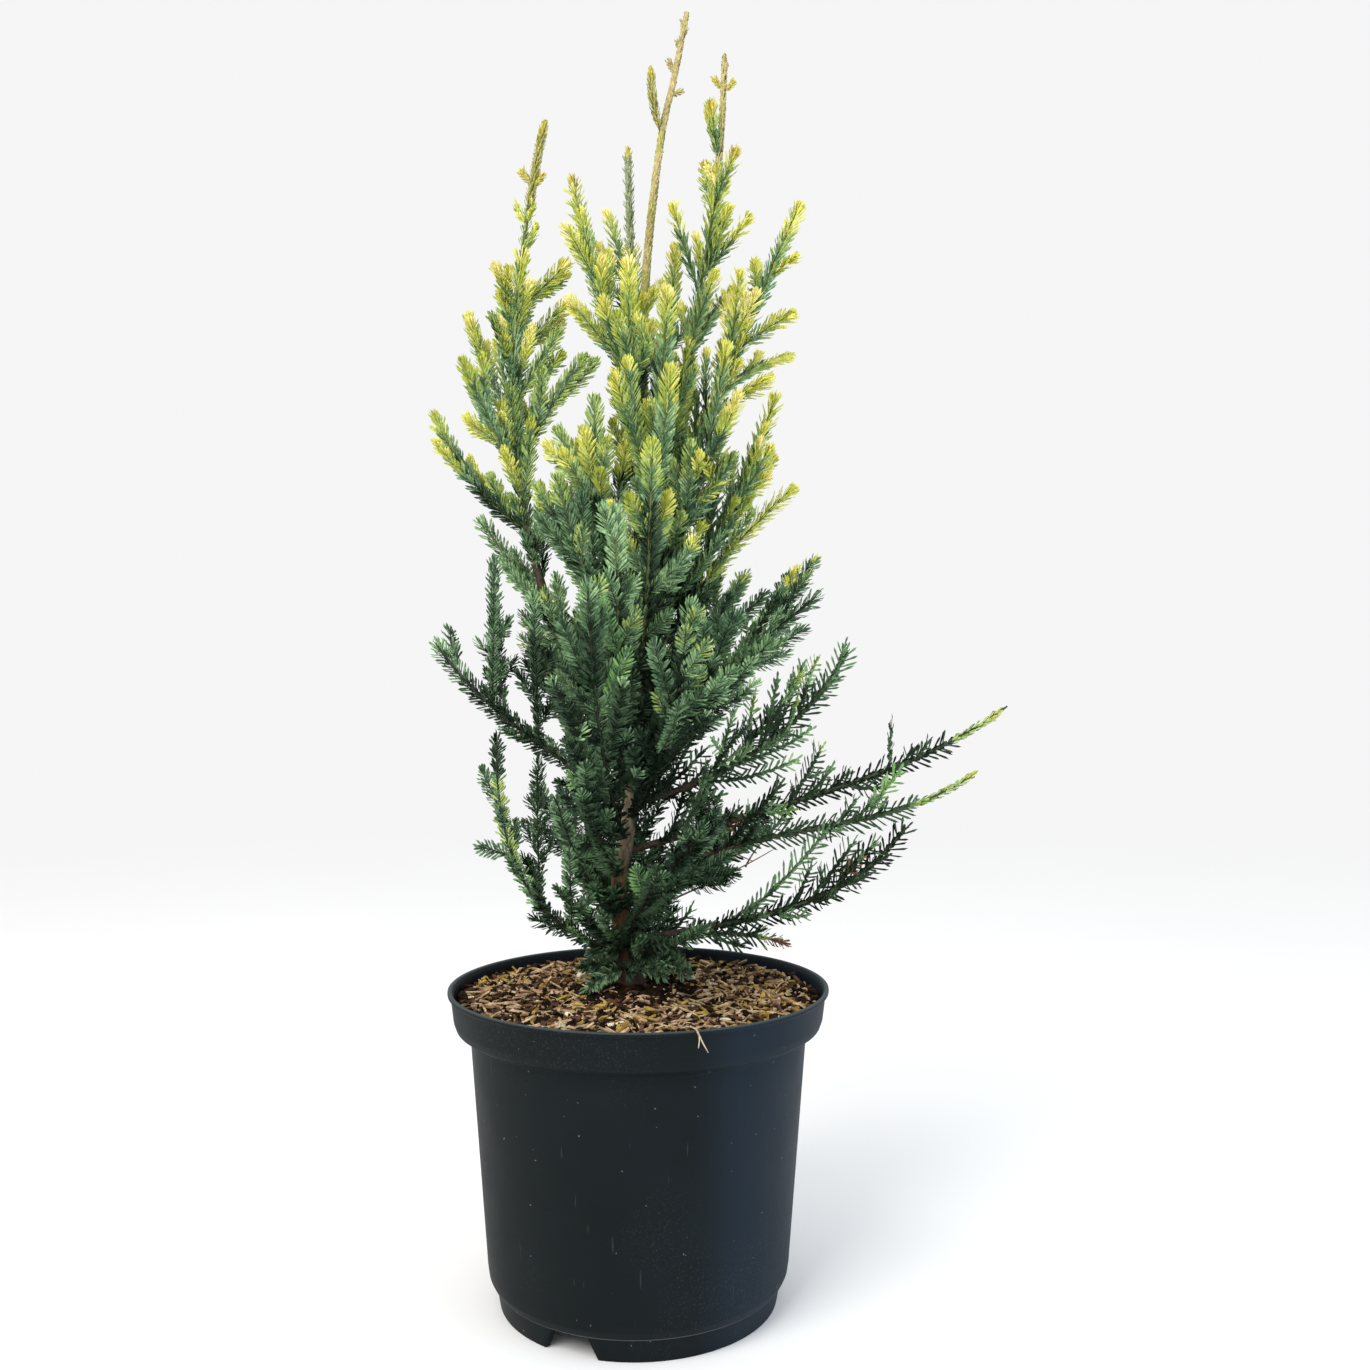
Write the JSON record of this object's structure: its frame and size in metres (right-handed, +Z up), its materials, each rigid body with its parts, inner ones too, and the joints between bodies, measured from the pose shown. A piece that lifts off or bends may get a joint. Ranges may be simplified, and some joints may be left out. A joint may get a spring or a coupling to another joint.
{
  "type": "potted adpressa coast redwood",
  "caption": "Young evergreen tree with upright golden-tipped leaders and arching low boughs of short dense needle sprays, growing in a round nursery pot that it stands on.",
  "frame": {"origin": "centre of the pot's underside, on the level plane that the pot stands on", "axes": "+Z up along the pot's axis; -Y towards the front, which the picture shows; the long low boughs reach out along +X"},
  "size_m": [0.3452, 0.2198, 0.749],
  "materials": {
    "pot_plastic": "satin",
    "potting_mix": "rough",
    "trunk_bark": "rough",
    "bough_bark": "rough",
    "green_needles": "matte",
    "golden_needles": "matte"
  },
  "bodies": {
    "root": {"pot": "pot_plastic", "potting_mix": "potting_mix", "trunk": "trunk_bark", "bough_left_leader": "bough_bark", "bough_left_side": "bough_bark", "bough_left_low": "bough_bark", "bough_right_leader": "bough_bark", "bough_right_upper": "bough_bark", "bough_right_middle": "bough_bark", "bough_right_lower": "bough_bark", "bough_right_long_upper": "bough_bark", "bough_right_long_middle": "bough_bark", "bough_right_long_low": "bough_bark", "bough_right_foot": "bough_bark", "bough_back_low_left": "bough_bark", "bough_back_low_right": "bough_bark", "bough_back_middle": "bough_bark", "foliage_left_side": "green_needles", "foliage_left_low": "green_needles", "foliage_left_base": "green_needles", "foliage_left_inner": "green_needles", "foliage_left_front": "green_needles", "foliage_left_middle": "green_needles", "foliage_left_high": "green_needles", "foliage_front_gold": "green_needles", "foliage_right_front": "green_needles", "foliage_right_outer": "green_needles", "foliage_right_gold": "green_needles", "foliage_right_middle": "green_needles", "foliage_right_lower": "green_needles", "foliage_right_long_upper": "green_needles", "foliage_right_long_middle": "green_needles", "foliage_right_long_low": "green_needles", "foliage_right_foot": "green_needles", "foliage_front_low_right": "green_needles", "foliage_front_low": "green_needles", "foliage_front_base": "green_needles", "foliage_front_middle_left": "green_needles", "foliage_front_middle": "green_needles", "foliage_front_middle_right": "green_needles", "foliage_front_centre": "green_needles", "foliage_front_right": "green_needles", "foliage_back_low_left": "green_needles", "foliage_back_low_right": "green_needles", "foliage_back_middle_left": "green_needles", "foliage_back_middle": "green_needles", "foliage_back_middle_right": "green_needles", "foliage_back_high_left": "green_needles", "foliage_back_high": "green_needles", "foliage_back_high_right": "green_needles", "foliage_left_leader": "golden_needles", "foliage_middle_leader": "golden_needles", "foliage_middle_top": "golden_needles", "foliage_middle_front": "golden_needles", "foliage_middle_gold": "golden_needles", "foliage_middle_back": "golden_needles", "foliage_right_leader": "golden_needles", "foliage_right_upper": "golden_needles", "foliage_leader_shoot": "golden_needles"}
  },
  "joints": []
}
